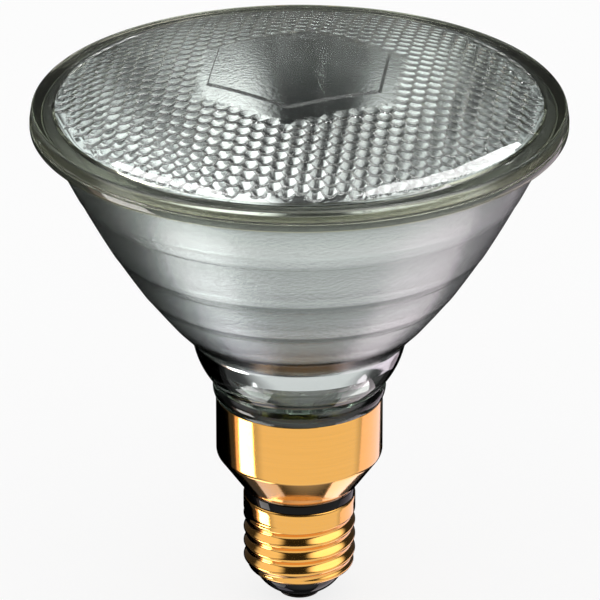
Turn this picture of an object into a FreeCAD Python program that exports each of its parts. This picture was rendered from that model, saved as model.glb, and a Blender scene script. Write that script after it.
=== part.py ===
"""Par spotlight bulb: a 38-eighths pressed glass reflector lamp with a skirted 27 mm screw cap.

Millimetres. +Z runs up the lamp's axis from the cap to the lens, and the origin is the middle of the
centre contact's flat end. The bulb stands cap down, and -Y is its front.
"""
import FreeCAD, Part
import math
import os
import Sketcher

# Driving sizes. Heights are measured up from the contact's end.
SIZES = {
    # Lens and the reflector's flange
    "rim_radius": 61.0,
    "rim_draft": 0.5,
    "rim_round": 0.7,
    "rim_face_width": 3.8,
    "lens_rim_depth": 3.1,
    "dome_rise": 9.7,
    "lens_wall": 3.6,
    "recess_inset": 6.2,
    "flange_depth": 1.9,
    "flange_round": 0.8,
    # Lens pattern, with a plain six-sided pad in its middle
    "lenticule_pitch": 3.48,
    "lenticule_height": 0.8,
    "pattern_margin": 0.8,
    "pad_rings": 7,
    "pattern_turn": 6.5,
    "pad_corner_radius": 22.6,
    "pad_rise": 0.35,
    # Reflector bowl: its inside is a paraboloid, and the wall follows it in stepped bands. A band's
    # foot is given as a share of the way up from the neck to the seam.
    "bowl_depth": 63.9,
    "mirror_inset": 5.84,
    "apex_rise": 2.05,
    "bowl_wall": 3.0,
    "bowl_curve": 300.0,
    "band_step": 0.3,
    "first_band": 0.72,
    "second_band": 0.46,
    "third_band": 0.267,
    "fourth_band": 0.098,
    # Neck cup, collar and heel
    "cup_mouth_radius": 21.6,
    "cup_floor_inset": 2.7,
    "cup_curve": 18.0,
    "neck_wall": 3.1,
    "neck_corner_drop": 1.53,
    "neck_foot_wall": 2.8,
    "neck_foot_drop": 1.4,
    "neck_curve": 20.0,
    "floor_rise": 5.3,
    "floor_wall": 4.0,
    "collar_swell": 0.7,
    "collar_rise": 2.2,
    "heel_step": 1.1,
    "heel_wall": 3.6,
    "heel_length": 8.7,
    # Ferrules, posts and filament
    "fit_gap": 0.05,
    "ferrule_clearance": 1.1,
    "ferrule_radius": 2.55,
    "ferrule_wall": 0.5,
    "ferrule_flange": 4.0,
    "ferrule_stand": 1.6,
    "post_radius": 0.55,
    "post_bend": 1.3,
    "post_reach": 3.0,
    "filament_radius": 0.95,
    "filament_wire": 0.16,
    "filament_turns": 10,
    "clamp_length": 1.5,
    "clamp_wall": 0.3,
    "bridge_rise": 6.5,
    "bridge_radius": 1.4,
    "bridge_overhang": 1.6,
    "anchor_radius": 0.18,
    # Exhaust tube
    "tube_radius": 2.3,
    "tube_wall": 0.7,
    "tube_length": 12.5,
    "tube_tip": 3.0,
    # Brass skirt and its cement
    "skirt_radius": 19.3,
    "skirt_wall": 0.35,
    "skirt_barrel": 14.3,
    "skirt_corner_round": 1.2,
    "skirt_cone": 8.9,
    "skirt_foot_inset": 0.05,
    "skirt_lip": 1.2,
    "cement_length": 8.0,
    # Screw shell with a rolled 27 mm thread
    "crest_radius": 13.05,
    "thread_depth": 0.9,
    "thread_pitch": 3.63,
    "thread_start": 90.0,
    "thread_fade": 1.8,
    "foot_fade": 2.9,
    "shell_wall": 0.3,
    "shell_top": 26.3,
    "shell_band": 3.5,
    "shell_foot": 7.0,
    "shell_curl": 2.6,
    "curl_depth": 2.05,
    # Black glass ring and plug
    "ring_height": 2.2,
    "ring_inset": 0.15,
    "ring_wall": 3.2,
    "ring_lip": 1.1,
    "plug_depth": 2.6,
    "plug_foot_radius": 5.9,
    "plug_foot": 2.0,
    "plug_curve": 9.0,
    "plug_bore": 1.8,
    # Centre contact
    "contact_radius": 4.8,
    "contact_flat": 3.6,
    "contact_rim": 0.6,
    "contact_thickness": 1.15,
    "eyelet_length": 4.2,
    "eyelet_wall": 0.4,
    "solder_radius": 1.0,
    # Leads, fuse and the solder on the shell
    "lead_radius": 0.4,
    "lead_bend": 2.5,
    "lead_run": 5.0,
    "fuse_radius": 1.7,
    "fuse_length": 11.0,
    "fuse_rise": 4.5,
    "fuse_offset": 4.0,
    "shell_solder_radius": 1.25,
    "shell_solder_drop": 2.9,
    "shell_lead_turn": 7.5,
    "shell_lead_throat": 3.0,
    "shell_lead_hook": 1.0,
}


class Size:
    """A number together with the sheet expression that gives it, so that sums of sizes stay bound."""

    def __init__(self, number, text):
        self.number = float(number)
        self.text = text

    def joined(self, sign, other, number):
        return Size(number, "(%s %s %s)" % (self.text, sign, other.text))

    def __float__(self):
        return self.number

    def __add__(self, other):
        other = as_size(other)
        return self.joined("+", other, self.number + other.number)

    def __radd__(self, other):
        return as_size(other) + self

    def __sub__(self, other):
        other = as_size(other)
        return self.joined("-", other, self.number - other.number)

    def __rsub__(self, other):
        return as_size(other) - self

    def __neg__(self):
        return as_size(0) - self

    def __mul__(self, other):
        other = as_size(other)
        return self.joined("*", other, self.number * other.number)

    def __rmul__(self, other):
        return as_size(other) * self

    def __truediv__(self, other):
        other = as_size(other)
        return self.joined("/", other, self.number / other.number)


def as_size(value):
    """A plain number as a Size of its own."""
    return value if isinstance(value, Size) else Size(value, repr(float(value)))


def root(size):
    """Square root of a Size."""
    return Size(math.sqrt(size.number), "sqrt(%s)" % size.text)


doc = FreeCAD.newDocument("par_bulb")
sheet = doc.addObject("Spreadsheet::Sheet", "Sizes")
for row, (name, number) in enumerate(SIZES.items(), start=1):
    sheet.set("A%d" % row, name)
    sheet.set("B%d" % row, str(number))
    sheet.setAlias("B%d" % row, name)
doc.recompute()


class SheetSizes:
    """The sheet's cells by name, each read back from the sheet as a Size."""

    def __getattr__(self, name):
        return Size(getattr(sheet, name), "Sizes." + name)


S = SheetSizes()

# Heights up the lamp, each from the one below it
skirt_foot = S.shell_top + S.ring_height
skirt_corner = skirt_foot + S.skirt_cone
skirt_top = skirt_corner + S.skirt_barrel
floor_top = skirt_top + S.floor_rise
mirror_apex = floor_top + S.apex_rise
seam_height = floor_top + S.bowl_depth

# Radii, from the rim inwards and from the skirt and the screw shell inwards
rim_top_radius = S.rim_radius - S.rim_draft
rim_face_inner = S.rim_radius - S.rim_face_width
recess_radius = S.rim_radius - S.recess_inset
mirror_mouth = S.rim_radius - S.mirror_inset
focal_length = mirror_mouth * mirror_mouth / (4 * (seam_height - mirror_apex))
cup_floor_radius = S.skirt_radius - S.cup_floor_inset
heel_radius = S.skirt_radius - S.heel_step
heel_bore = heel_radius - S.heel_wall
skirt_foot_radius = S.crest_radius - S.skirt_foot_inset
skirt_mouth_radius = skirt_foot_radius - S.skirt_lip
ring_radius = S.crest_radius - S.ring_inset
ring_bore = skirt_mouth_radius - S.ring_wall
shell_foot_radius = S.crest_radius - S.curl_depth

# How far a cutting tool runs past the face that it cuts
OVERRUN = 1.0
PARTS = []


def finished(piece, label):
    """Put a finished piece on the list of those that are written out, under its own label."""
    piece.Label = label
    PARTS.append(piece)
    return piece


def bind(piece, **sizes):
    """Bind an object's properties to the sheet."""
    for prop, size in sizes.items():
        piece.setExpression(prop, as_size(size).text)


def place(piece, **position):
    """Bind an object's position to the sheet, by axis."""
    for axis, size in position.items():
        piece.setExpression(".Placement.Base." + axis, as_size(size).text)


def primitive(kind, label, **sizes):
    """Part primitive with bound sizes."""
    piece = doc.addObject(kind, label)
    bind(piece, **sizes)
    return piece


def cut(label, base, tool):
    """Part boolean: base less tool."""
    piece = doc.addObject("Part::Cut", label)
    piece.Base = base
    piece.Tool = tool
    return piece


def common(label, base, tool):
    """Part boolean: what base and tool share."""
    piece = doc.addObject("Part::Common", label)
    piece.Base = base
    piece.Tool = tool
    return piece


def fused(label, pieces):
    """Part boolean: all the pieces in one."""
    piece = doc.addObject("Part::MultiFuse", label)
    piece.Shapes = pieces
    return piece


def shaped(label, shape):
    """A piece whose shape is worked out directly."""
    piece = doc.addObject("Part::Feature", label)
    piece.Shape = shape
    return piece


def arc_between(start, end, curve):
    """Arc of signed radius: a positive one bulges to the left of the way from start to end."""
    chord = end - start
    half = chord.Length / 2
    side = FreeCAD.Vector(-chord.y, chord.x, 0).normalize()
    rise = abs(curve) - math.sqrt(curve * curve - half * half)
    return Part.Arc(start, (start + end) * 0.5 + side * math.copysign(rise, curve), end)


def turned(label, outline):
    """Body turned round Z from a closed half section, drawn clockwise from its top. Each point is
    (radius, height), or (radius, height, curve) where an arc of that signed radius ends there."""
    body = doc.addObject("PartDesign::Body", label)
    sketch = body.newObject("Sketcher::SketchObject", label + "_section")
    plane = [item for item in body.Origin.OriginFeatures if item.Role == "XZ_Plane"][0]
    sketch.AttachmentSupport = (plane, [""])
    sketch.MapMode = "FlatFace"
    spots = [FreeCAD.Vector(float(point[0]), float(point[1]), 0) for point in outline]
    for index, point in enumerate(outline):
        start, end = spots[index - 1], spots[index]
        curved = len(point) > 2
        edge = arc_between(start, end, float(point[2])) if curved else Part.LineSegment(start, end)
        sketch.addGeometry(edge, False)
    # An arc is stored anticlockwise, so its first end may be the later point
    last_end = [2 if (sketch.getPoint(index, 2) - spot).Length < 1e-6 else 1
                for index, spot in enumerate(spots)]
    for index, point in enumerate(outline):
        following = (index + 1) % len(outline)
        sketch.addConstraint(Sketcher.Constraint(
            "Coincident", index, last_end[index], following, 3 - last_end[following]))
        for kind, size, axis in (("DistanceX", point[0], -2), ("DistanceY", point[1], -1)):
            if float(size) == 0:
                sketch.addConstraint(Sketcher.Constraint("PointOnObject", index, last_end[index], axis))
                continue
            number = sketch.addConstraint(Sketcher.Constraint(
                kind, -1, 1, index, last_end[index], float(size)))
            sketch.setExpression("Constraints[%d]" % number, as_size(size).text)
        if len(point) > 2:
            number = sketch.addConstraint(Sketcher.Constraint("Radius", index, abs(float(point[2]))))
            sketch.setExpression("Constraints[%d]" % number, "abs(%s)" % as_size(point[2]).text)
    turn = body.newObject("PartDesign::Revolution", label + "_turn")
    turn.Profile = sketch
    turn.ReferenceAxis = (sketch, ["V_Axis"])
    turn.Angle = 360
    return body


def faceted(points, facets):
    """Closed solid of flat triangles, which run anticlockwise seen from outside."""
    shape = Part.Shape()
    shape.makeShapeFromMesh(([tuple(point) for point in points], facets), 0.001)
    return Part.Solid(Part.Shell(shape.Faces))


def bent_wire(points, radius, bend):
    """Round wire along straight runs joined by tangent arcs of radius bend."""
    edges = []
    start = points[0]
    for before, corner, after in zip(points, points[1:], points[2:]):
        incoming = (corner - before).normalize()
        outgoing = (after - corner).normalize()
        half_turn = incoming.getAngle(outgoing) / 2
        first = corner - incoming * (bend * math.tan(half_turn))
        last = corner + outgoing * (bend * math.tan(half_turn))
        inward = (outgoing - incoming).normalize()
        middle = corner + inward * (bend / math.cos(half_turn) - bend)
        edges.append(Part.LineSegment(start, first).toShape())
        edges.append(Part.Arc(first, middle, last).toShape())
        start = last
    edges.append(Part.LineSegment(start, points[-1]).toShape())
    section = Part.Wire(Part.makeCircle(radius, points[0], points[1] - points[0]))
    return Part.Wire(edges).makePipeShell([section], True, False)


# Lens: pressed glass. The mould gives the domed face, its flat rim and the raised pad. The plunger
# gives the recess with its field of lenticules, which stand on a six-sided lattice round the pad.
rim_top = seam_height + S.lens_rim_depth
dome_top = rim_top + S.dome_rise
dome_curve = (rim_face_inner * rim_face_inner + S.dome_rise * S.dome_rise) / (2 * S.dome_rise)
lens_blank = turned("lens_blank", [
    (0, dome_top),
    (rim_face_inner, rim_top, dome_curve),
    (rim_top_radius - S.rim_round, rim_top),
    (rim_top_radius, rim_top - S.rim_round, S.rim_round),
    (S.rim_radius, seam_height),
    (0, seam_height),
])

pad_prism = primitive("Part::Prism", "pad_prism", Circumradius=S.pad_corner_radius, Height=S.lens_wall)
pad_prism.Polygon = 6
place(pad_prism, z=dome_top - S.lens_wall + S.pad_rise)
bind(pad_prism, **{".Placement.Rotation.Angle": 90 - S.pattern_turn})
pad_ball = primitive("Part::Sphere", "pad_ball", Radius=dome_curve + S.pad_rise)
place(pad_ball, z=dome_top - dome_curve)
pad_block = common("pad_block", pad_prism, pad_ball)


RECESS_SIDES = 96


def lattice_frame():
    """Unit vectors across and along the lenticule columns."""
    turn = math.radians(float(S.pattern_turn))
    along = FreeCAD.Vector(math.sin(turn), math.cos(turn), 0)
    return FreeCAD.Vector(along.y, -along.x, 0), along


def cell_rings(column, step):
    """How many cells away from the middle one a cell of the lattice is."""
    return max(abs(column), abs(step), abs(column + step))


def plunger():
    """Faceted plunger: a disc whose top follows the dome, with a six-sided hollow for each lenticule."""
    pitch = float(S.lenticule_pitch)
    reach = float(recess_radius)
    inner_curve = float(dome_curve - S.lens_wall)
    middle_height = float(dome_top - dome_curve)
    across, along = lattice_frame()
    points, numbers, facets, edges = [], {}, [], {}

    def on_dome(spot, sink=0.0):
        key = (round(spot.x, 4), round(spot.y, 4), sink > 0)
        if key not in numbers:
            rise = math.sqrt(inner_curve ** 2 - spot.x ** 2 - spot.y ** 2)
            numbers[key] = len(points)
            points.append(FreeCAD.Vector(spot.x, spot.y, middle_height + rise - sink))
        return numbers[key]

    corner_reach = pitch / math.sqrt(3)
    pattern_reach = reach - corner_reach - float(S.pattern_margin)
    span = int(reach / pitch) + 2
    for column in range(-span, span + 1):
        for step in range(-span, span + 1):
            centre = across * (column * pitch * math.sqrt(0.75)) + along * ((step + column / 2) * pitch)
            clear = cell_rings(column, step) > float(S.pad_rings)
            if not clear or centre.Length > pattern_reach:
                continue
            corners = [on_dome(centre + (across * math.cos(math.radians(60 * k))
                                         + along * math.sin(math.radians(60 * k))) * corner_reach)
                       for k in range(6)]
            tip = on_dome(centre, float(S.lenticule_height))
            for first, second in zip(corners, corners[1:] + corners[:1]):
                facets.append((first, second, tip))
                edges[first, second] = True
    border = {first: second for first, second in edges if (second, first) not in edges}
    loops = []
    while border:
        start, following = next(iter(border.items()))
        loop = [start]
        del border[start]
        while following != start:
            loop.append(following)
            following = border.pop(following)
        loops.append(loop)
    loops.sort(key=lambda loop: max(points[n].x ** 2 + points[n].y ** 2 for n in loop))
    pad_loop, ragged_loop = loops[0], loops[-1]

    # Under the pad the dome is plain, and round the pattern a plain band runs out to the recess wall
    middle = on_dome(FreeCAD.Vector(0, 0, 0))
    for first, second in zip(pad_loop, pad_loop[1:] + pad_loop[:1]):
        facets.append((second, first, middle))
    wall = [on_dome(FreeCAD.Vector(reach * math.cos(2 * math.pi * k / RECESS_SIDES),
                                   reach * math.sin(2 * math.pi * k / RECESS_SIDES), 0))
            for k in range(RECESS_SIDES)]

    def flat(number):
        return FreeCAD.Vector(points[number].x, points[number].y, 0)

    band = Part.makeFace([Part.makePolygon([flat(n) for n in loop + loop[:1]])
                          for loop in (wall, ragged_loop)], "Part::FaceMakerBullseye")
    spots, triangles = band.tessellate(1.0)
    kept = [on_dome(spot) for spot in spots]
    for triangle in triangles:
        one, two, three = (spots[n] for n in triangle)
        ring = [kept[n] for n in triangle]
        facets.append(tuple(ring if (two - one).cross(three - one).z > 0 else ring[::-1]))
    foot = len(points)
    base = float(seam_height) - OVERRUN
    points.extend(FreeCAD.Vector(points[n].x, points[n].y, base) for n in wall)
    points.append(FreeCAD.Vector(0, 0, base))
    for k in range(RECESS_SIDES):
        following = (k + 1) % RECESS_SIDES
        facets.append((foot + k, foot + following, wall[following]))
        facets.append((foot + k, wall[following], wall[k]))
        facets.append((foot + RECESS_SIDES, foot + following, foot + k))
    return faceted(points, facets)


lens_plunger = shaped("lens_plunger", plunger())
finished(cut("lens", fused("lens_blank_with_pad", [lens_blank, pad_block]), lens_plunger), "lens")


# Reflector: one piece of pressed glass. The wall keeps an even thickness round the mirror's
# paraboloid, in bands with a shallow step between them, down to the neck cup and its heel.
def mirror_radius(height):
    """Radius of the paraboloid at a height."""
    return root(4 * focal_length * (height - mirror_apex))


def wall_radius(height):
    """Radius outside the glass wall at a height."""
    return mirror_radius(height) + S.bowl_wall * root(1 + focal_length / (height - mirror_apex))


flange_foot = seam_height - S.flange_depth
floor_bottom = floor_top - S.floor_wall
heel_top = skirt_top + S.fit_gap
heel_foot = skirt_top - S.heel_length
cup_mouth_height = mirror_apex + S.cup_mouth_radius * S.cup_mouth_radius / (4 * focal_length)
neck_corner_height = cup_mouth_height - S.neck_corner_drop
neck_foot_height = floor_top - S.neck_foot_drop
collar_height = skirt_top + S.collar_rise
bowl_foot = neck_corner_height + 4 * S.band_step
bands = []
for share in (S.first_band, S.second_band, S.third_band, S.fourth_band):
    height = neck_corner_height + share * (seam_height - neck_corner_height)
    bands.append((wall_radius(height), height, S.bowl_curve))
    bands.append((wall_radius(height) - S.band_step, height - S.band_step))
reflector_blank = turned("reflector_blank", [
    (0, seam_height),
    (S.rim_radius, seam_height),
    (S.rim_radius, flange_foot + S.flange_round),
    (S.rim_radius - S.flange_round, flange_foot, S.flange_round),
    (wall_radius(flange_foot), flange_foot),
    *bands,
    (wall_radius(bowl_foot), bowl_foot),
    (S.cup_mouth_radius + S.neck_wall, neck_corner_height),
    (cup_floor_radius + S.neck_foot_wall, neck_foot_height, S.neck_curve),
    (S.skirt_radius + S.collar_swell, collar_height, 2 * (neck_foot_height - collar_height)),
    (S.skirt_radius, heel_top, 2 * (collar_height - heel_top)),
    (heel_radius, heel_top),
    (heel_radius, heel_foot),
    (heel_bore, heel_foot),
    (heel_bore, floor_bottom),
    (0, floor_bottom),
])


def mirror_plunger():
    """Solid of the cavity: a paraboloid, whose half section is one quadratic curve, over the neck cup."""
    slope = 2 * float(focal_length)
    low = float(S.cup_mouth_radius)
    top = float(seam_height) + OVERRUN
    high = math.sqrt(2 * slope * (top - float(mirror_apex)))
    low_height = float(cup_mouth_height)
    floor = float(floor_top)
    edge = float(cup_floor_radius)
    mouth = FreeCAD.Vector(low, 0, low_height)
    rim = FreeCAD.Vector(high, 0, top)
    pull = FreeCAD.Vector((low + high) / 2, 0, low_height + low / slope * (high - low) / 2)
    parabola = Part.BezierCurve()
    parabola.setPoles([mouth, pull, rim])
    chord = mouth - FreeCAD.Vector(edge, 0, floor)
    curve = float(S.cup_curve)
    sag = curve - math.sqrt(curve * curve - chord.Length ** 2 / 4)
    outward = FreeCAD.Vector(chord.z, 0, -chord.x).normalize()
    bulge = FreeCAD.Vector(edge, 0, floor) + chord * 0.5 + outward * sag
    foot = FreeCAD.Vector(edge, 0, floor)
    edges = [
        Part.makeLine(FreeCAD.Vector(0, 0, floor), foot),
        Part.Arc(foot, bulge, mouth).toShape(),
        parabola.toShape(),
        Part.makeLine(rim, FreeCAD.Vector(0, 0, top)),
        Part.makeLine(FreeCAD.Vector(0, 0, top), FreeCAD.Vector(0, 0, floor)),
    ]
    return Part.Face(Part.Wire(edges)).revolve(FreeCAD.Vector(0, 0, 0), FreeCAD.Vector(0, 0, 1), 360)


def floor_hole(label, radius):
    """Cylinder that drills the neck's floor."""
    hole = primitive("Part::Cylinder", label, Radius=radius + S.fit_gap,
                     Height=S.floor_wall + 2 * OVERRUN)
    place(hole, z=floor_bottom - OVERRUN)
    return hole


reflector_tools = [shaped("mirror_plunger", mirror_plunger()), floor_hole("tube_hole", S.tube_radius)]
ferrule_spacing = 2 * (heel_bore - S.ferrule_flange - S.ferrule_clearance)
for side, name in ((-1, "left"), (1, "right")):
    hole = floor_hole("ferrule_hole_" + name, S.ferrule_radius)
    place(hole, x=side * ferrule_spacing / 2)
    reflector_tools.append(hole)
finished(cut("reflector", reflector_blank, fused("reflector_tools", reflector_tools)), "reflector")

# Exhaust tube: drawn glass tube in the middle of the floor, tipped off below it
tube_foot = floor_bottom - S.tube_length
tube_bore = S.tube_radius - S.tube_wall
finished(turned("exhaust_tube", [
    (tube_bore, floor_top),
    (S.tube_radius, floor_top),
    (S.tube_radius, tube_foot + S.tube_tip),
    (S.tube_wall, tube_foot),
    (0, tube_foot),
    (0, tube_foot + S.tube_tip / 2),
    (tube_bore, tube_foot + S.tube_tip),
]), "exhaust_tube")

# Ferrules: drawn nickel-iron thimbles, closed at the top, that carry the current through the floor
ferrule_top = floor_top + S.ferrule_stand
ferrule_bore = S.ferrule_radius - S.ferrule_wall
flange_top = floor_bottom - S.fit_gap
for side, name in ((-1, "left"), (1, "right")):
    ferrule = finished(turned("ferrule_" + name, [
        (0, ferrule_top),
        (S.ferrule_radius, ferrule_top),
        (S.ferrule_radius, flange_top),
        (S.ferrule_flange, flange_top),
        (S.ferrule_flange, flange_top - S.ferrule_wall),
        (ferrule_bore, flange_top - S.ferrule_wall),
        (ferrule_bore, ferrule_top - S.ferrule_wall),
        (0, ferrule_top - S.ferrule_wall),
    ]), "ferrule_" + name)
    place(ferrule, x=side * ferrule_spacing / 2)

# Filament: coiled tungsten across the lamp at the mirror's focus, on two bent posts
focus = float(mirror_apex + focal_length)
half_spacing = float(ferrule_spacing) / 2
filament_length = ferrule_spacing - 2 * S.post_reach
half_coil = float(filament_length) / 2
gap = float(S.fit_gap)


def filament_coil():
    """Six-sided wire along the coil, with a straight leg at each end."""
    turns = int(float(S.filament_turns))
    steps = 12
    leg = float(S.clamp_length) / 2
    count = turns * steps
    path = []
    for index in range(-1, count + 2):
        share = min(max(index / count, 0), 1)
        ramp = min(1, min(index, count - index) / (steps / 2))
        reach = float(S.filament_radius) * max(ramp, 0)
        angle = 2 * math.pi * turns * share
        along = (share - 0.5) * 2 * half_coil + (leg if index > count else -leg if index < 0 else 0)
        path.append((along, angle, reach))
    spots = [FreeCAD.Vector(along, reach * math.cos(angle), focus + reach * math.sin(angle))
             for along, angle, reach in path]
    sides = 6
    points = []
    for index, (along, angle, reach) in enumerate(path):
        before, after = spots[max(index - 1, 0)], spots[min(index + 1, len(spots) - 1)]
        tangent = (after - before).normalize()
        radial = FreeCAD.Vector(0, math.cos(angle), math.sin(angle))
        radial = (radial - tangent * radial.dot(tangent)).normalize()
        other = tangent.cross(radial)
        for k in range(sides):
            swing = 2 * math.pi * k / sides
            offset = radial * math.cos(swing) + other * math.sin(swing)
            points.append(spots[index] + offset * float(S.filament_wire))
    facets = []
    for index in range(len(path) - 1):
        for k in range(sides):
            first, second = index * sides + k, index * sides + (k + 1) % sides
            facets.append((first, second, second + sides))
            facets.append((first, second + sides, first + sides))
    final = (len(path) - 1) * sides
    for k in range(1, sides - 1):
        facets.append((0, k + 1, k))
        facets.append((final, final + k, final + k + 1))
    return faceted(points, facets)


finished(shaped("filament", filament_coil()), "filament")
post_end = half_coil + float(S.clamp_length) / 2 + 2 * gap
for side, name in ((-1, "left"), (1, "right")):
    route = [
        FreeCAD.Vector(side * half_spacing, 0, float(ferrule_top) + gap),
        FreeCAD.Vector(side * half_spacing, 0, focus),
        FreeCAD.Vector(side * post_end, 0, focus),
    ]
    post = bent_wire(route, float(S.post_radius), float(S.post_bend))
    finished(shaped("lead_post_" + name, post), "lead_post_" + name)
    clamp_tube = primitive("Part::Cylinder", "clamp_tube_" + name, Height=S.clamp_length,
                           Radius=S.post_radius + S.fit_gap + S.clamp_wall)
    clamp_hole = primitive("Part::Cylinder", "clamp_hole_" + name, Height=S.clamp_length,
                           Radius=S.post_radius + S.fit_gap)
    clamp = finished(cut("filament_clamp_" + name, clamp_tube, clamp_hole), "filament_clamp_" + name)
    bind(clamp, **{".Placement.Rotation.Angle": 90})
    clamp.Placement.Rotation.Axis = FreeCAD.Vector(0, 1, 0)
    place(clamp, x=side * (filament_length / 2 + S.clamp_length / 2) - S.clamp_length / 2,
          z=mirror_apex + focal_length)

# Support bridge: a glass rod threaded on both posts, with a hooked wire that steadies the coil
bridge_height = floor_top + S.bridge_rise
bridge_length = ferrule_spacing + 2 * S.bridge_overhang
bridge_rod = primitive("Part::Cylinder", "bridge_rod", Radius=S.bridge_radius, Height=bridge_length)
bridge_rod.Placement.Rotation = FreeCAD.Rotation(FreeCAD.Vector(0, 1, 0), 90)
place(bridge_rod, x=-(bridge_length / 2), z=bridge_height)
bridge_holes = []
for side, name in ((-1, "left"), (1, "right")):
    hole = primitive("Part::Cylinder", "bridge_hole_" + name, Radius=S.post_radius + S.fit_gap,
                     Height=4 * S.bridge_radius)
    place(hole, x=side * ferrule_spacing / 2, z=bridge_height - 2 * S.bridge_radius)
    bridge_holes.append(hole)
finished(cut("support_bridge", bridge_rod, fused("bridge_holes", bridge_holes)), "support_bridge")

hook = float(S.filament_radius + S.filament_wire + S.anchor_radius) + 2 * gap
finished(shaped("anchor_wire", bent_wire([
    FreeCAD.Vector(0, 0, float(bridge_height + S.bridge_radius) + gap),
    FreeCAD.Vector(0, 0, focus - 2 * hook),
    FreeCAD.Vector(0, hook, focus - hook),
    FreeCAD.Vector(0, hook, focus + hook),
    FreeCAD.Vector(0, -hook / 2, focus + hook),
], float(S.anchor_radius), hook / 3)), "anchor_wire")

# Skirt: deep-drawn brass. Its top edge meets the glass collar, and its foot turns in over the ring
slant = (S.skirt_radius - skirt_foot_radius) / (skirt_corner - skirt_foot)
cone_wall = S.skirt_wall * root(1 + slant * slant)
skirt_inside = S.skirt_radius - S.skirt_wall
inner_corner = skirt_foot + (skirt_inside - skirt_foot_radius + cone_wall) / slant
skirt_foot_top = skirt_foot + S.skirt_wall
finished(turned("skirt", [
    (skirt_inside, skirt_top),
    (S.skirt_radius, skirt_top),
    (S.skirt_radius, skirt_corner + S.skirt_corner_round / 2),
    (S.skirt_radius - slant * S.skirt_corner_round / 2, skirt_corner - S.skirt_corner_round / 2,
     2 * S.skirt_corner_round),
    (skirt_foot_radius, skirt_foot),
    (skirt_mouth_radius, skirt_foot),
    (skirt_mouth_radius, skirt_foot_top),
    (skirt_foot_radius + slant * S.skirt_wall - cone_wall, skirt_foot_top),
    (skirt_inside, inner_corner),
]), "skirt")

# Cement: the ring of fired capping cement between the heel and the skirt
cement_top = skirt_top - S.skirt_wall
finished(turned("cement_ring", [
    (heel_radius + S.fit_gap, cement_top),
    (skirt_inside - S.fit_gap, cement_top),
    (skirt_inside - S.fit_gap, cement_top - S.cement_length),
    (heel_radius + S.fit_gap, cement_top - S.cement_length),
]), "cement_ring")

# Screw shell: thin brass with its thread rolled through the wall, right-handed
SHELL_SIDES = 30
ROWS_A_PITCH = 8
thread_top = S.shell_top - S.shell_band
thread_foot = S.shell_foot + S.shell_curl


def ease(share):
    """Smooth step from 0 to 1."""
    share = min(max(share, 0.0), 1.0)
    return share * share * (3 - 2 * share)


def shell_radius(height, angle):
    """Outside of the shell. A cosine wave climbs one pitch a turn, and fades out into the plain band
    above and the foot below, which curls in along a parabola."""
    curl = max((float(thread_foot) - height) / float(S.shell_curl), 0.0)
    body = float(S.crest_radius) - float(S.curl_depth) * curl * curl
    fade = (ease((float(thread_top) - height) / float(S.thread_fade))
            * ease((height - float(S.shell_foot)) / float(S.foot_fade)))
    turn = 2 * math.pi * height / float(S.thread_pitch) - angle - math.radians(float(S.thread_start))
    return body - float(S.thread_depth) * fade * (1 - math.cos(turn)) / 2


def screw_shell():
    """Closed wall from rings of points outside and inside."""
    foot = float(S.shell_foot)
    threaded = float(thread_top) - foot
    rows = round(threaded / float(S.thread_pitch) * ROWS_A_PITCH)
    heights = [foot + threaded * n / rows for n in range(rows + 1)] + [float(S.shell_top)]
    points = []
    for inset in (0.0, float(S.shell_wall)):
        for height in heights:
            for k in range(SHELL_SIDES):
                angle = 2 * math.pi * k / SHELL_SIDES
                reach = shell_radius(height, angle) - inset
                points.append(FreeCAD.Vector(reach * math.cos(angle), reach * math.sin(angle), height))
    inner = len(heights) * SHELL_SIDES
    facets = []
    for row in range(len(heights) - 1):
        for k in range(SHELL_SIDES):
            a, b = row * SHELL_SIDES + k, row * SHELL_SIDES + (k + 1) % SHELL_SIDES
            c, d = a + SHELL_SIDES, b + SHELL_SIDES
            facets += [(a, b, d), (a, d, c)]
            facets += [(inner + a, inner + d, inner + b), (inner + a, inner + c, inner + d)]
    last = (len(heights) - 1) * SHELL_SIDES
    for k in range(SHELL_SIDES):
        following = (k + 1) % SHELL_SIDES
        facets += [(k, inner + k, inner + following), (k, inner + following, following)]
        a, b = last + k, last + following
        facets += [(a, b, inner + b), (a, inner + b, inner + a)]
    return faceted(points, facets)


finished(shaped("screw_shell", screw_shell()), "screw_shell")

# Black glass ring: it keeps the skirt apart from the live shell, with a lip into each
flat_share = math.cos(math.pi / SHELL_SIDES)
shell_inside = (S.crest_radius - S.shell_wall) * flat_share - S.fit_gap
ring_top = skirt_foot - S.fit_gap
ring_foot = S.shell_top + S.fit_gap
finished(turned("skirt_insulator", [
    (ring_bore, skirt_foot_top + S.ring_lip),
    (skirt_mouth_radius - S.fit_gap, skirt_foot_top + S.ring_lip),
    (skirt_mouth_radius - S.fit_gap, ring_top),
    (ring_radius, ring_top),
    (ring_radius, ring_foot),
    (shell_inside, ring_foot),
    (shell_inside, ring_foot - S.ring_lip),
    (ring_bore, ring_foot - S.ring_lip),
]), "skirt_insulator")

# Black glass plug: it closes the shell's foot and carries the contact
plug_seat = (shell_foot_radius - S.shell_wall) * flat_share - 2 * S.fit_gap
plug_top = S.shell_foot + S.plug_depth
plug_shoulder = S.shell_foot - S.fit_gap
contact_seat = S.contact_thickness + S.fit_gap
finished(turned("contact_insulator", [
    (S.plug_bore, plug_top),
    (plug_seat, plug_top),
    (plug_seat, plug_shoulder),
    (S.plug_foot_radius, S.plug_foot, S.plug_curve),
    (S.contact_radius, contact_seat),
    (S.plug_bore, contact_seat),
]), "contact_insulator")

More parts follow.
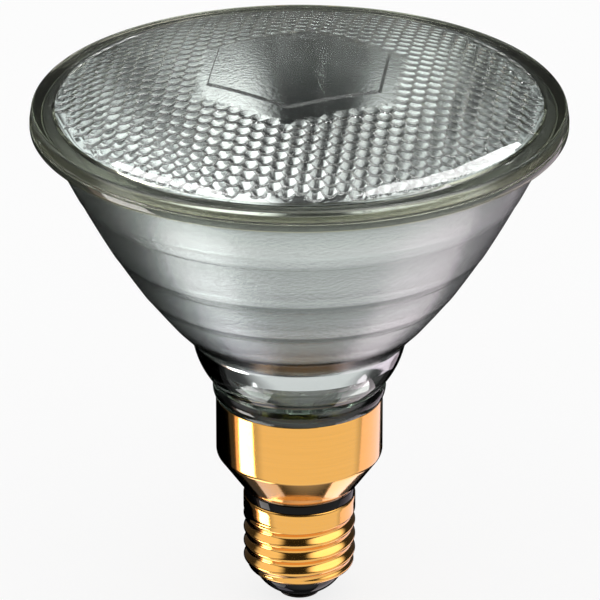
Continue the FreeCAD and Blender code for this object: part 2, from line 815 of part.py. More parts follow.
# Centre contact: a pressed brass eyelet in the plug, with the lead soldered into it
eyelet_radius = S.plug_bore - S.fit_gap
eyelet_bore = eyelet_radius - S.eyelet_wall
finished(turned("centre_contact", [
    (eyelet_bore, S.contact_thickness + S.eyelet_length),
    (eyelet_radius, S.contact_thickness + S.eyelet_length),
    (eyelet_radius, S.contact_thickness),
    (S.contact_radius, S.contact_thickness),
    (S.contact_radius, S.contact_rim),
    (S.contact_flat, 0),
    (S.solder_radius, 0),
    (S.solder_radius, S.contact_thickness),
    (eyelet_bore, S.contact_thickness),
]), "centre_contact")
finished(turned("contact_solder", [
    (0, S.contact_thickness),
    (S.solder_radius - S.fit_gap, S.contact_thickness),
    (S.solder_radius - S.fit_gap, S.fit_gap),
    (0, S.fit_gap),
]), "contact_solder")

# Fuse: a glass bead on the contact lead, standing beside the axis
fuse_foot = skirt_foot + S.fuse_rise - S.fuse_length / 2
fuse_top = fuse_foot + S.fuse_length
fuse = finished(turned("fuse", [
    (0, fuse_top),
    (S.fuse_radius / 2, fuse_top),
    (S.fuse_radius, fuse_top - S.fuse_radius / 2, S.fuse_radius / 2),
    (S.fuse_radius, fuse_foot + S.fuse_radius / 2),
    (S.fuse_radius / 2, fuse_foot, S.fuse_radius / 2),
    (0, fuse_foot),
]), "fuse")
place(fuse, x=S.fuse_offset)

# Leads: from each thimble down to the contact, through the fuse, and to the shell
lead_start = ferrule_top - S.ferrule_wall - S.fit_gap


def lead(label, spots):
    """Lead wire through points in the XZ plane."""
    route = [FreeCAD.Vector(float(x), 0, float(z)) for x, z in spots]
    return finished(shaped(label, bent_wire(route, float(S.lead_radius), float(S.lead_bend))), label)


lead("contact_lead_upper", [
    (ferrule_spacing / 2, lead_start),
    (ferrule_spacing / 2, floor_bottom - S.lead_run),
    (S.fuse_offset, fuse_top + S.lead_run),
    (S.fuse_offset, fuse_top + S.fit_gap),
])
lead("contact_lead_lower", [
    (S.fuse_offset, fuse_foot - S.fit_gap),
    (S.fuse_offset, fuse_foot - S.lead_run),
    (0, plug_top + S.lead_run),
    (0, S.contact_thickness + S.fit_gap),
])
solder_height = S.shell_top - S.shell_solder_drop
solder_middle = shell_inside - S.shell_solder_radius + 4 * S.fit_gap
solder_face = solder_middle - S.shell_solder_radius - 3 * S.fit_gap
throat = ring_bore - 3 * S.lead_radius
lead("shell_lead", [
    (-(ferrule_spacing / 2), lead_start),
    (-(ferrule_spacing / 2), skirt_foot + S.shell_lead_turn),
    (-throat, skirt_foot + S.shell_lead_throat),
    (-throat, solder_height + S.shell_lead_hook),
    (-solder_face, solder_height),
])
solder_ball = primitive("Part::Sphere", "solder_ball", Radius=S.shell_solder_radius)
place(solder_ball, x=-solder_middle, z=solder_height)
solder_limit = primitive("Part::Cylinder", "solder_limit", Radius=shell_inside, Height=S.shell_top)
finished(common("shell_solder", solder_ball, solder_limit), "shell_solder")

doc.recompute()

faults = [item.Label for item in doc.Objects if "Invalid" in item.State or "Error" in item.State]
for piece in PARTS:
    if piece.Shape.isNull() or not piece.Shape.isValid() or not piece.Shape.Solids:
        faults.append(piece.Label + " has no valid solid")
if faults:
    raise SystemExit("Not written: " + ", ".join(faults))
os.makedirs("parts", exist_ok=True)
for piece in PARTS:
    piece.Shape.exportStep("parts/%s.step" % piece.Label)
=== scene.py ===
"""Looks of a par spotlight bulb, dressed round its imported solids. Metres, +Z up the lamp's axis."""
import math

import bmesh
import bpy
import numpy as np
from mathutils.geometry import delaunay_2d_cdt
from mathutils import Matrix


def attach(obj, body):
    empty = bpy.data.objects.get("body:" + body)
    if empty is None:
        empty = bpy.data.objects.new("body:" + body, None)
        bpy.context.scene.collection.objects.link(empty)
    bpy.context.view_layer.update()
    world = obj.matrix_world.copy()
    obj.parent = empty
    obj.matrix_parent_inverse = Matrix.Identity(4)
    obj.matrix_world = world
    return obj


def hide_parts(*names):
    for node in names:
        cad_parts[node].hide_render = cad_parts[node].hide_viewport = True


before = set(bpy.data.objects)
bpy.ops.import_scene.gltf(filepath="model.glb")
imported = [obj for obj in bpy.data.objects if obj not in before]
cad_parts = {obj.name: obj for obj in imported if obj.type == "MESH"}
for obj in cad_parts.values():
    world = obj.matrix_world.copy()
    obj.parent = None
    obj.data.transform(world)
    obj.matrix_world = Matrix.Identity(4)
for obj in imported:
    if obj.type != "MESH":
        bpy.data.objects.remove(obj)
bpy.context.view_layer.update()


# Reflector glass: one pressing of clear borosilicate, its bowl stepped in shallow bands, with a neck
# cup, a bead for a collar and a heel that the cap is cemented to. The mould leaves it smooth.
MM = 0.001
FOCAL, APEX = 12.298, 59.05
SEAM, RIM, GLASS = 120.9, 61.0, 3.0
FLANGE_FOOT = SEAM - 1.9
STEPS, STEP_DEPTH = (105.81, 91.79, 81.39, 72.28), 0.3
NECK_TOP, NECK_RADIUS, HEEL_RADIUS, BORE = 67.005, 24.7, 18.2, 14.6
CUP_MOUTH, CUP_MOUTH_TOP, CUP_FLOOR, FLOOR = 21.6, 68.535, 16.6, 57.0
BOWL_COLUMNS = 320


def mirror_radius(height):
    """Radius of the paraboloid: the root of four focal lengths times the height over its apex."""
    return np.sqrt(4 * FOCAL * (height - APEX))


def wall_radius(height):
    """Radius of the glass's outside: its thickness from the paraboloid, measured square to it."""
    return mirror_radius(height) + GLASS * np.sqrt(1 + FOCAL / (height - APEX))


def arc(start, end, curve, count):
    """Points from start to end on a circle of radius |curve|: its centre is off the chord's middle by
    the root of curve squared less half the chord squared. A positive curve bulges to the left."""
    start, end = np.array(start, float), np.array(end, float)
    chord = end - start
    half = np.hypot(*chord) / 2
    side = np.array([-chord[1], chord[0]]) / (2 * half) * math.copysign(1, curve)
    depth = math.sqrt(curve * curve - half * half)
    centre = (start + end) / 2 - side * depth
    reach = math.asin(half / abs(curve))
    turn = np.linspace(-reach, reach, count)[:, None]
    return centre + abs(curve) * (side * np.cos(turn) + chord / (2 * half) * np.sin(turn))


def softened(corners, steps=5):
    """Outline through corners (radius, height, cut). Each corner with a cut is drawn as a quadratic
    curve, (1-t)^2 start + 2t(1-t) corner + t^2 end, whose ends lie at the cut from the corner."""
    corners = np.array(corners, float)
    spots, cuts = corners[:, :2], corners[:, 2]
    before = np.roll(spots, 1, 0) - spots
    after = np.roll(spots, -1, 0) - spots
    before /= np.maximum(np.linalg.norm(before, axis=1), 1e-9)[:, None]
    after /= np.maximum(np.linalg.norm(after, axis=1), 1e-9)[:, None]
    t = np.linspace(0, 1, steps)[:, None, None]
    start, end = spots + before * cuts[:, None], spots + after * cuts[:, None]
    curves = ((1 - t) ** 2 * start + 2 * t * (1 - t) * spots + t ** 2 * end).transpose(1, 0, 2)
    kept = np.ones(curves.shape[:2], bool)
    kept[cuts == 0, 1:] = False
    return curves[kept]


def uncut(points, cut_last=0.0):
    """Points (radius, height) as outline corners with no cut, but for the last."""
    points = np.asarray(points, float)
    cuts = np.zeros((len(points), 1))
    cuts[-1] = cut_last
    return np.hstack([points, cuts]).tolist()


def turned(outline, columns=256):
    """Surface of revolution: point (row, column) is (radius cos a, radius sin a, height), with the
    outline's row and a = column share of a full turn."""
    outline = np.asarray(outline, float)
    angle = 2 * np.pi * np.arange(columns) / columns
    radius, height = outline[:, :1], np.repeat(outline[:, 1:2], columns, 1)
    return np.stack([radius * np.cos(angle), radius * np.sin(angle), height], -1)


def ring_quads(rows, columns):
    """Quads of a grid whose last column joins its first."""
    column = np.arange(columns)
    row = np.arange(rows - 1)[:, None] * columns
    corner, beside = row + column, row + (column + 1) % columns
    return np.stack([corner, beside, beside + columns, corner + columns], -1).reshape(-1, 4).tolist()


def linear(code):
    """sRGB hex colour as linear red, green, blue and alpha."""
    levels = np.array([int(code[k:k + 2], 16) for k in (1, 3, 5)]) / 255
    levels = np.where(levels <= 0.04045, levels / 12.92, ((levels + 0.055) / 1.055) ** 2.4)
    return (*levels.tolist(), 1.0)


def finish(name):
    """Empty material."""
    made = bpy.data.materials.new(name)
    made.use_nodes = True
    made.node_tree.nodes.clear()
    return made


def add(owner, kind, settings=(), sockets=()):
    """Adds a node to a material or world. A socket takes a plain value or another node's output."""
    node = owner.node_tree.nodes.new(kind)
    for key, value in dict(settings).items():
        setattr(node, key, value)
    for key, value in dict(sockets).items():
        if isinstance(value, bpy.types.NodeSocket):
            owner.node_tree.links.new(value, node.inputs[key])
        else:
            node.inputs[key].default_value = value
    return node


def glass(name, tint, rough, clear=1.0):
    """Glass that tints light where it crosses the skin. What isn't clear of it is milky."""
    made = finish(name)
    skin = add(made, "ShaderNodeBsdfPrincipled", sockets={
        "Base Color": linear(tint), "Roughness": rough, "IOR": 1.48, "Transmission Weight": clear})
    add(made, "ShaderNodeOutputMaterial", sockets={"Surface": skin.outputs[0]})
    return made


def finished(name, points, faces, finishes, replaced=(), face_finish=None, crease=32):
    """Piece from points in millimetres: doubles are merged, which closes seams and poles, faces are
    turned outwards, and shading is smooth but for creases. It rides on the root body."""
    mesh = bpy.data.meshes.new(name)
    mesh.from_pydata((np.asarray(points).reshape(-1, 3) * MM).tolist(), [], faces)
    for material in finishes:
        mesh.materials.append(material)
    if face_finish is not None:
        mesh.polygons.foreach_set("material_index", np.asarray(face_finish, np.int32))
    work = bmesh.new()
    work.from_mesh(mesh)
    bmesh.ops.remove_doubles(work, verts=work.verts, dist=2e-6)
    bmesh.ops.recalc_face_normals(work, faces=work.faces)
    work.to_mesh(mesh)
    work.free()
    mesh.shade_smooth()
    mesh.set_sharp_from_angle(angle=math.radians(crease))
    piece = bpy.data.objects.new(name, mesh)
    bpy.context.scene.collection.objects.link(piece)
    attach(piece, "root")
    if replaced:
        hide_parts(*replaced)
    return piece


cup = arc((CUP_FLOOR, FLOOR), (CUP_MOUTH, CUP_MOUTH_TOP), -18.0, 14)
bowl_heights = np.linspace(CUP_MOUTH_TOP, SEAM, 60)[1:]
bowl = np.column_stack([mirror_radius(bowl_heights), bowl_heights])
outline = [(0, FLOOR, 0)] + uncut(cup) + uncut(bowl, 0.05)
outline += [(RIM, SEAM, 0.15), (RIM, FLANGE_FOOT, 0.8)]
last = (float(wall_radius(FLANGE_FOOT)), FLANGE_FOOT)
outline += [(*last, 0.5)]
# Each band bulges a little, and ends in a step inwards and down
for step in STEPS:
    foot = (float(wall_radius(step)), step)
    outline += uncut(arc(last, foot, 300.0, 12)[1:-1]) + [(*foot, 0.35)]
    last = (foot[0] - STEP_DEPTH, step - STEP_DEPTH)
    outline += [(*last, 0.3)]
foot = (float(wall_radius(NECK_TOP + 1.2)), NECK_TOP + 1.2)
outline += [(*foot, 0.5), (NECK_RADIUS, NECK_TOP, 0.7)]
# Neck, the groove over the collar's bead, the bead, and the heel inside the skirt
outline += uncut(arc((NECK_RADIUS, NECK_TOP), (19.4, 55.6), 20.0, 16)[2:-1])
outline += [(19.4, 55.6, 0.3)] + uncut(arc((19.4, 55.6), (20.0, 53.9), 3.4, 6)[1:])
outline += uncut(arc((20.0, 53.9), (19.3, 51.75), 4.3, 6)[1:], 0.1)
outline += [(HEEL_RADIUS, 51.75, 0.2), (HEEL_RADIUS, 43.0, 0.6), (BORE, 43.0, 0.6), (BORE, 53.0, 0.8),
            (0, 53.0, 0)]
section = softened(outline)

# Fire-polished where it is clear, satin from the mould round the bowl, olive at the fused edge, and
# dark green where one looks along the thick glass of the neck
clear_glass = glass("borosilicate_fire_polished", "#f5f8f6", 0.0)
satin_glass = glass("borosilicate_mould_satin", "#f4f8f6", 0.22)
edge_glass = glass("borosilicate_flame_fused", "#d6dac4", 0.0, 0.97)
thick_glass = glass("borosilicate_thick", "#83988a", 0.0)
middles = (section[1:] + section[:-1]) / 2
outside = middles[:, 0] > wall_radius(np.maximum(middles[:, 1], 62.0)) - 1.0
row_finish = np.where(outside & (middles[:, 1] > NECK_TOP + 1.0) & (middles[:, 1] < SEAM - 2.0), 1, 0)
row_finish[(middles[:, 0] > 57.0) & (middles[:, 1] > SEAM - 2.5)] = 2
row_finish[middles[:, 1] < FLOOR + 1.5] = 3
reflector = finished("reflector_glass", turned(section, BOWL_COLUMNS),
                     ring_quads(len(section), BOWL_COLUMNS),
                     [clear_glass, satin_glass, edge_glass, thick_glass],
                     ["reflector"], face_finish=np.repeat(row_finish, BOWL_COLUMNS))

# Feedthrough holes: the two ferrules and the exhaust tube pass through the cup's floor
drill = bmesh.new()
for side, radius in ((-9.5, 2.6), (0.0, 2.35), (9.5, 2.6)):
    made = bmesh.ops.create_cone(drill, cap_ends=True, segments=40, radius1=radius * MM,
                                 radius2=radius * MM, depth=6 * MM)
    bmesh.ops.translate(drill, verts=made["verts"], vec=(side * MM, 0, 55 * MM))
drill_mesh = bpy.data.meshes.new("drill")
drill.to_mesh(drill_mesh)
drill.free()
drill_piece = bpy.data.objects.new("drill", drill_mesh)
bpy.context.scene.collection.objects.link(drill_piece)
holes = reflector.modifiers.new("holes", "BOOLEAN")
holes.object = drill_piece
holes.operation = "DIFFERENCE"
holes.solver = "EXACT"
graph = bpy.context.evaluated_depsgraph_get()
drilled = bpy.data.meshes.new_from_object(reflector.evaluated_get(graph))
reflector.modifiers.clear()
reflector.data = drilled
bpy.data.objects.remove(drill_piece)


# Mirror: aluminium evaporated onto the inside of the bowl and cup. Seen from inside it is a bright
# mirror, and through the glass its back is satin, because it copies the grain of the pressing.
def beside(line, gap):
    """The line moved sideways by gap, to the right of its direction."""
    run = np.gradient(line, axis=0)
    run /= np.linalg.norm(run, axis=1)[:, None]
    return line + np.column_stack([run[:, 1], -run[:, 0]]) * gap


# Painted shade and painted light on the coating's back, by height: a painted dark band at the neck's top,
# painted shade in the angle under each step of the glass that lightens down the band, and a painted
# shadow under the flange with painted light over it. Heights are in millimetres.
PAINTED_BACK_SHADE = (
    (66.0, "#c4c8c8"), (69.9, "#c4c8c8"), (70.3, "#242826"), (73.2, "#242826"), (73.5, "#b9bebc"),
    (74.6, "#f0f4f4"), (77.0, "#eceff0"), (80.6, "#d2d7d5"), (82.6, "#8c9290"), (83.0, "#eceeee"),
    (88.0, "#d8dddc"), (91.5, "#b4b9b7"), (93.1, "#979d9b"), (93.5, "#dfe3e2"), (99.0, "#dde1e0"),
    (105.9, "#c3c8c6"), (106.4, "#dde1e0"), (111.0, "#e6eae8"), (116.0, "#c9cfcc"), (118.6, "#6c746e"),
    (119.2, "#d8d6c2"), (122.0, "#d8d6c2"))
TONES_FOOT, TONES_TOP = PAINTED_BACK_SHADE[0][0], PAINTED_BACK_SHADE[-1][0]
COATED_FROM, CUP_TO, COATED_TO = 62.5, 68.4, 120.4

# Its colour is the painted shade and light of the table above, set by height
film_back_painted = finish("aluminium_back_painted_shade")
place = add(film_back_painted, "ShaderNodeTexCoord")
split = add(film_back_painted, "ShaderNodeSeparateXYZ", sockets={0: place.outputs["Object"]})
level = add(film_back_painted, "ShaderNodeMapRange", sockets={
    "Value": split.outputs["Z"], "From Min": TONES_FOOT * MM, "From Max": TONES_TOP * MM})
tone = add(film_back_painted, "ShaderNodeValToRGB", sockets={0: level.outputs[0]})
stops = tone.color_ramp.elements
for height, shade in PAINTED_BACK_SHADE:
    if height == TONES_FOOT:
        stop = stops[0]
    elif height == TONES_TOP:
        stop = stops[-1]
    else:
        stop = stops.new((height - TONES_FOOT) / (TONES_TOP - TONES_FOOT))
    stop.color = linear(shade)
# Grain of the pressing, 0.7 mm coarse so that it shows
grain = add(film_back_painted, "ShaderNodeTexNoise", sockets={
    "Vector": place.outputs["Object"], "Scale": 1400.0, "Detail": 3.0, "Roughness": 0.65})
relief = add(film_back_painted, "ShaderNodeBump", sockets={
    "Strength": 0.35, "Distance": 0.0002, "Height": grain.outputs[0]})
shader = add(film_back_painted, "ShaderNodeBsdfPrincipled", sockets={
    "Base Color": tone.outputs[0], "Metallic": 1.0, "Roughness": 0.2, "Normal": relief.outputs[0]})
add(film_back_painted, "ShaderNodeOutputMaterial", sockets={"Surface": shader.outputs[0]})
# On the cup's polished glass the back stays glossy, and the front is the bare, brighter metal
film_cup = finish("aluminium_evaporated_cup")
shader = add(film_cup, "ShaderNodeBsdfPrincipled", sockets={
    "Base Color": linear("#d4d8d8"), "Metallic": 1.0, "Roughness": 0.06})
add(film_cup, "ShaderNodeOutputMaterial", sockets={"Surface": shader.outputs[0]})
film_front = finish("aluminium_evaporated_front")
shader = add(film_front, "ShaderNodeBsdfPrincipled", sockets={
    "Base Color": linear("#eceeee"), "Metallic": 1.0, "Roughness": 0.03})
add(film_front, "ShaderNodeOutputMaterial", sockets={"Surface": shader.outputs[0]})

coated = np.vstack([cup[cup[:, 1] > COATED_FROM], bowl[:-1],
                    [(float(mirror_radius(COATED_TO)), COATED_TO)]])
back, front = beside(coated, 0.06), beside(coated, -0.04)
film = np.vstack([back, front[::-1], back[:1]])
row_finish = np.where(np.arange(len(film) - 1) >= len(coated), 1,
                      np.where(film[1:, 1] < CUP_TO, 2, 0))
finished("mirror_film", turned(film), ring_quads(len(film), 256), [film_back_painted, film_front, film_cup],
         face_finish=np.repeat(row_finish, 256))


# Metalwork of the mount: two ferrules fused into the neck's floor, the posts that stand on them, and
# the clamps pinched round the filament's tails. It is nickel-iron, drawn to a satin with fine lines.
def dress(material, *names):
    """Gives solids of the frame this one finish."""
    for name in names:
        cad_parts[name].data.materials.clear()
        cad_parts[name].data.materials.append(material)


# Die lines a quarter of a millimetre apart and 8 mm long, coarser than the real ones, so that they show
nickel_iron = finish("nickel_iron_drawn")
place = add(nickel_iron, "ShaderNodeTexCoord")
lines = add(nickel_iron, "ShaderNodeMapping", sockets={
    "Vector": place.outputs["Object"], "Scale": (4000.0, 4000.0, 120.0)})
die = add(nickel_iron, "ShaderNodeTexNoise", sockets={"Vector": lines.outputs[0], "Scale": 1.0})
rough = add(nickel_iron, "ShaderNodeMapRange", sockets={
    "Value": die.outputs[0], "To Min": 0.22, "To Max": 0.4})
shader = add(nickel_iron, "ShaderNodeBsdfPrincipled", sockets={
    "Base Color": linear("#b5b2aa"), "Metallic": 1.0, "Roughness": rough.outputs[0]})
add(nickel_iron, "ShaderNodeOutputMaterial", sockets={"Surface": shader.outputs[0]})
dress(nickel_iron, "ferrule_left", "ferrule_right", "lead_post_left", "lead_post_right",
      "filament_clamp_left", "filament_clamp_right")

# Filament and its anchor: drawn tungsten wire, the filament wound to a coil between the clamps and the
# anchor hooked round its middle. Heat leaves it dark grey, with a skin uneven over a third of a
# millimetre.
tungsten = finish("tungsten_drawn")
place = add(tungsten, "ShaderNodeTexCoord")
skin = add(tungsten, "ShaderNodeTexNoise", sockets={"Vector": place.outputs["Object"], "Scale": 3000.0})
rough = add(tungsten, "ShaderNodeMapRange", sockets={
    "Value": skin.outputs[0], "To Min": 0.3, "To Max": 0.5})
shader = add(tungsten, "ShaderNodeBsdfPrincipled", sockets={
    "Base Color": linear("#8d8d90"), "Metallic": 1.0, "Roughness": rough.outputs[0]})
add(tungsten, "ShaderNodeOutputMaterial", sockets={"Surface": shader.outputs[0]})
dress(tungsten, "filament", "anchor_wire")

# Glass rod and tube, drawn clear and fire-polished: the bridge that holds the posts apart, the
# exhaust tube, tipped off under the floor, and the fuse's bead
rod_glass = finish("glass_drawn_rod")
shader = add(rod_glass, "ShaderNodeBsdfPrincipled", sockets={
    "Base Color": linear("#f2f6f4"), "Roughness": 0.02, "IOR": 1.5, "Transmission Weight": 1.0})
add(rod_glass, "ShaderNodeOutputMaterial", sockets={"Surface": shader.outputs[0]})
dress(rod_glass, "support_bridge", "exhaust_tube", "fuse")

# Leads: copper-clad wire from the ferrules to the shell and, past the fuse, to the contact. The
# solder's heat leaves it dull, with brown patches a few millimetres long.
lead_wire = finish("copper_clad_wire")
place = add(lead_wire, "ShaderNodeTexCoord")
heat = add(lead_wire, "ShaderNodeTexNoise", sockets={"Vector": place.outputs["Object"], "Scale": 400.0})
tint = add(lead_wire, "ShaderNodeMix", {"data_type": "RGBA"}, {
    "Factor": heat.outputs[0], 6: linear("#b98a66"), 7: linear("#8f6f58")})
shader = add(lead_wire, "ShaderNodeBsdfPrincipled", sockets={
    "Base Color": tint.outputs[2], "Metallic": 1.0, "Roughness": 0.35})
add(lead_wire, "ShaderNodeOutputMaterial", sockets={"Surface": shader.outputs[0]})
dress(lead_wire, "contact_lead_upper", "contact_lead_lower", "shell_lead")

# Solder: tin, which wets the leads' ends to the shell and to the contact. It sets smooth and bright,
# its skin uneven over two thirds of a millimetre.
solder = finish("tin_solder_wetted")
place = add(solder, "ShaderNodeTexCoord")
skin = add(solder, "ShaderNodeTexNoise", sockets={"Vector": place.outputs["Object"], "Scale": 1500.0})
relief = add(solder, "ShaderNodeBump", sockets={
    "Strength": 0.3, "Distance": 0.0001, "Height": skin.outputs[0]})
shader = add(solder, "ShaderNodeBsdfPrincipled", sockets={
    "Base Color": linear("#c4c4c6"), "Metallic": 1.0, "Roughness": 0.28, "Normal": relief.outputs[0]})
add(solder, "ShaderNodeOutputMaterial", sockets={"Surface": shader.outputs[0]})
dress(solder, "shell_solder", "contact_solder")

# Cement: capping cement, run between the heel and the skirt and fired hard. It is matt and sandy, with
# grit up to a millimetre, and looks dark behind the collar's thick glass.
cement = finish("capping_cement_fired")
place = add(cement, "ShaderNodeTexCoord")
sand = add(cement, "ShaderNodeTexNoise", sockets={
    "Vector": place.outputs["Object"], "Scale": 900.0, "Detail": 5.0})
tint = add(cement, "ShaderNodeMix", {"data_type": "RGBA"}, {
    "Factor": sand.outputs[0], 6: linear("#3f423b"), 7: linear("#64675c")})
relief = add(cement, "ShaderNodeBump", sockets={
    "Strength": 0.6, "Distance": 0.0003, "Height": sand.outputs[0]})
shader = add(cement, "ShaderNodeBsdfPrincipled", sockets={
    "Base Color": tint.outputs[2], "Roughness": 0.9, "Normal": relief.outputs[0]})
add(cement, "ShaderNodeOutputMaterial", sockets={"Surface": shader.outputs[0]})
dress(cement, "cement_ring")

# Lens: pressed glass fused to the bowl at the flange. Its face is a shallow dome with a flat rim and
# a raised six-sided pad, and its underside is a close field of round lenticules round that pad.
DOME_TOP, DOME_CURVE, LENS_GLASS = 133.7, 173.5, 3.6
RIM_TOP, FACE_INNER, RECESS = 124.0, 57.2, 54.8
# The fused seam has no air in it, so the two glasses share their last twentieth of a millimetre
FUSED = SEAM - 0.05
LENS_COLUMNS = 360
PAD_ROWS, STAMPED_ROWS, SIDE_RADIUS = 12, 26, 60.4
APOTHEM, PAD_RISE = 22.6 * math.cos(math.pi / 6), 0.35
turn = math.radians(6.5)
angle = 2 * np.pi * np.arange(LENS_COLUMNS) / LENS_COLUMNS
# A six-sided ring of unit apothem, with its corners on the lattice's columns
hexagon = 1 / np.cos((angle - (math.pi / 2 - turn)) % (math.pi / 3) - math.pi / 6)


def on_dome(radius, lift=0.0):
    """Height of the dome at a radius: a circle of the dome's curve under its top."""
    return DOME_TOP - DOME_CURVE + np.sqrt(DOME_CURVE ** 2 - radius ** 2) + lift


def under_dome(radius):
    """Height of the underside: a circle round the dome's centre, smaller by the glass."""
    return DOME_TOP - DOME_CURVE + np.sqrt((DOME_CURVE - LENS_GLASS) ** 2 - radius ** 2)


def lens_rows():
    """Rows from the pad's middle outwards: six-sided rings out to the pad's bevel, then rings that
    pass from six-sided to round, the flat rim, the side, the seam and the recess's wall."""
    pad = np.linspace(0, 1, PAD_ROWS)[:, None] * (APOTHEM - 0.75) * hexagon
    rows = [np.dstack([pad, on_dome(pad, PAD_RISE)])]
    offset = np.array([-0.6, -0.5, -0.42, -0.34, -0.2, 0.0, 0.12, 0.22, 0.32, 0.45, 0.7])[:, None]
    rise = np.array([PAD_RISE, 0.345, 0.33, 0.30, 0.2, 0.06, 0.02, 0.005, 0.0, 0.0, 0.0])[:, None]
    bevel = (APOTHEM + offset) * hexagon
    rows.append(np.dstack([bevel, on_dome(bevel, rise)]))
    share = np.linspace(0, 1, 22)[1:, None] ** 1.2
    ring = (1 - share) * bevel[-1] + share * FACE_INNER
    rows.append(np.dstack([ring, on_dome(ring)]))
    flank = softened([(FACE_INNER, RIM_TOP, 0), (60.5, RIM_TOP, 0.9), (60.95, 121.2, 0.3),
                      (60.7, FUSED, 0.1), (RECESS + 0.4, FUSED, 0.2), (RECESS, 122.6, 0)])[1:]
    rows.append(np.repeat(flank[:, None, :], LENS_COLUMNS, 1))
    grid = np.vstack(rows)
    return np.dstack([grid[..., 0] * np.cos(angle), grid[..., 0] * np.sin(angle), grid[..., 1]])


def lens_underside(reach, pitch=3.48, height=0.8, rings=7, fine=3):
    """Points of the patterned face. Round each point of a six-sided lattice, outside the pad's rings,
    the face bulges down by height times 1 less the square of its distance over a cell's corner."""
    corner = pitch / math.sqrt(3)
    step = corner / fine
    count = int(reach / step / 0.8) + 2
    i, j = np.meshgrid(np.arange(-count, count + 1), np.arange(-count, count + 1))
    across = np.array([math.cos(turn), -math.sin(turn)])
    along = np.array([math.sin(turn), math.cos(turn)])
    slant = across * 0.5 + along * math.sqrt(0.75)
    spots = (i[..., None] * across + j[..., None] * slant).reshape(-1, 2) * step
    spots = spots[np.hypot(*spots.T) < reach - 0.3 * step]
    round_edge = np.column_stack([np.cos(angle), np.sin(angle)]) * reach
    made = delaunay_2d_cdt(np.vstack([spots, round_edge]).tolist(), [], [], 0, 1e-6)
    flat = np.array([tuple(spot) for spot in made[0]])
    # Each point's nearest cell, in the lattice's three coordinates, which add up to nothing
    column = flat @ across / (pitch * math.sqrt(0.75))
    row = flat @ along / pitch - column / 2
    third = -column - row
    cell = np.round(np.stack([column, row, third]))
    error = np.abs(cell - np.stack([column, row, third]))
    worst = error.argmax(0)
    for k in range(3):
        cell[k] = np.where(worst == k, -cell[(k + 1) % 3] - cell[(k + 2) % 3], cell[k])
    middle = pitch * (cell[0][:, None] * across * math.sqrt(0.75)
                      + (cell[1] + cell[0] / 2)[:, None] * along)
    away = np.linalg.norm(flat - middle, axis=1)
    patterned = (np.abs(cell).max(0) > rings) & (np.hypot(*middle.T) < RECESS - corner - 0.8)
    bulge = np.where(patterned, height * np.maximum(0, 1 - (away / corner) ** 2), 0)
    return np.column_stack([flat, under_dome(np.hypot(*flat.T)) - bulge]), [tuple(face) for face in made[2]]


# The pad and the plain zone round it are stamped, which leaves them satin with a shallow ripple of a
# millimetre. The rest of the face is fire-polished like the bowl, and its side olive from the flame.
stamped_glass = glass("borosilicate_stamped_satin", "#f5f8f6", 0.13)
place = add(stamped_glass, "ShaderNodeTexCoord")
grain = add(stamped_glass, "ShaderNodeTexNoise", sockets={
    "Vector": place.outputs["Object"], "Scale": 1100.0, "Detail": 2.0})
relief = add(stamped_glass, "ShaderNodeBump", sockets={
    "Strength": 0.25, "Distance": 0.0003, "Height": grain.outputs[0]})
skin = stamped_glass.node_tree.nodes["Principled BSDF"]
stamped_glass.node_tree.links.new(relief.outputs[0], skin.inputs["Normal"])

shell = lens_rows()
underside, triangles = lens_underside(RECESS)
recess_foot = np.column_stack([RECESS * np.cos(angle), RECESS * np.sin(angle),
                               np.full(LENS_COLUMNS, under_dome(RECESS))])
shell = np.concatenate([shell, recess_foot[None]])
row_finish = np.zeros(len(shell) - 1, int)
row_finish[:STAMPED_ROWS] = 2
row_finish[(np.hypot(*shell[:-1, 0, :2].T) > SIDE_RADIUS) & (shell[:-1, 0, 2] > SEAM)] = 1
finished("lens_glass", np.vstack([shell.reshape(-1, 3), underside]),
         ring_quads(len(shell), LENS_COLUMNS)
         + [tuple(k + len(shell) * LENS_COLUMNS for k in face) for face in triangles],
         [clear_glass, edge_glass, stamped_glass], ["lens"], crease=28,
         face_finish=np.concatenate([np.repeat(row_finish, LENS_COLUMNS),
                                     np.zeros(len(triangles), int)]))

# Skirt: deep-drawn brass, polished and lacquered, turned in over the insulating ring at its foot and
# cemented to the glass inside. Drawing leaves faint rings 0.4 mm apart, and the gloss is a mirror's.
brass = finish("brass_drawn_lacquered")
place = add(brass, "ShaderNodeTexCoord")
rings = add(brass, "ShaderNodeMapping", sockets={
    "Vector": place.outputs["Object"], "Scale": (60.0, 60.0, 2600.0)})
drawn = add(brass, "ShaderNodeTexNoise", sockets={
    "Vector": rings.outputs[0], "Scale": 1.0, "Detail": 2.0})
tint = add(brass, "ShaderNodeMix", {"data_type": "RGBA"}, {
    "Factor": drawn.outputs[0], 6: linear("#f4b553"), 7: linear("#ecab48")})
rough = add(brass, "ShaderNodeMapRange", sockets={
    "Value": drawn.outputs[0], "To Min": 0.07, "To Max": 0.15})
relief = add(brass, "ShaderNodeBump", sockets={
    "Strength": 0.08, "Distance": 0.0001, "Height": drawn.outputs[0]})
shader = add(brass, "ShaderNodeBsdfPrincipled", sockets={
    "Base Color": tint.outputs[2], "Metallic": 1.0, "Roughness": rough.outputs[0],
    "Normal": relief.outputs[0], "Coat Weight": 1.0, "Coat Roughness": 0.06})
add(brass, "ShaderNodeOutputMaterial", sockets={"Surface": shader.outputs[0]})
section = softened([
    (18.95, 51.7, 0.1), (19.3, 51.7, 0.12), (19.3, 37.4, 0.7), (13.0, 28.5, 0.4), (11.8, 28.5, 0.1),
    (11.8, 28.85, 0.1), (12.82, 28.85, 0.2), (18.95, 37.52, 0.5), (18.95, 51.7, 0.1)])
finished("skirt_shell", turned(section), ring_quads(len(section), 256), [brass], ["skirt"])

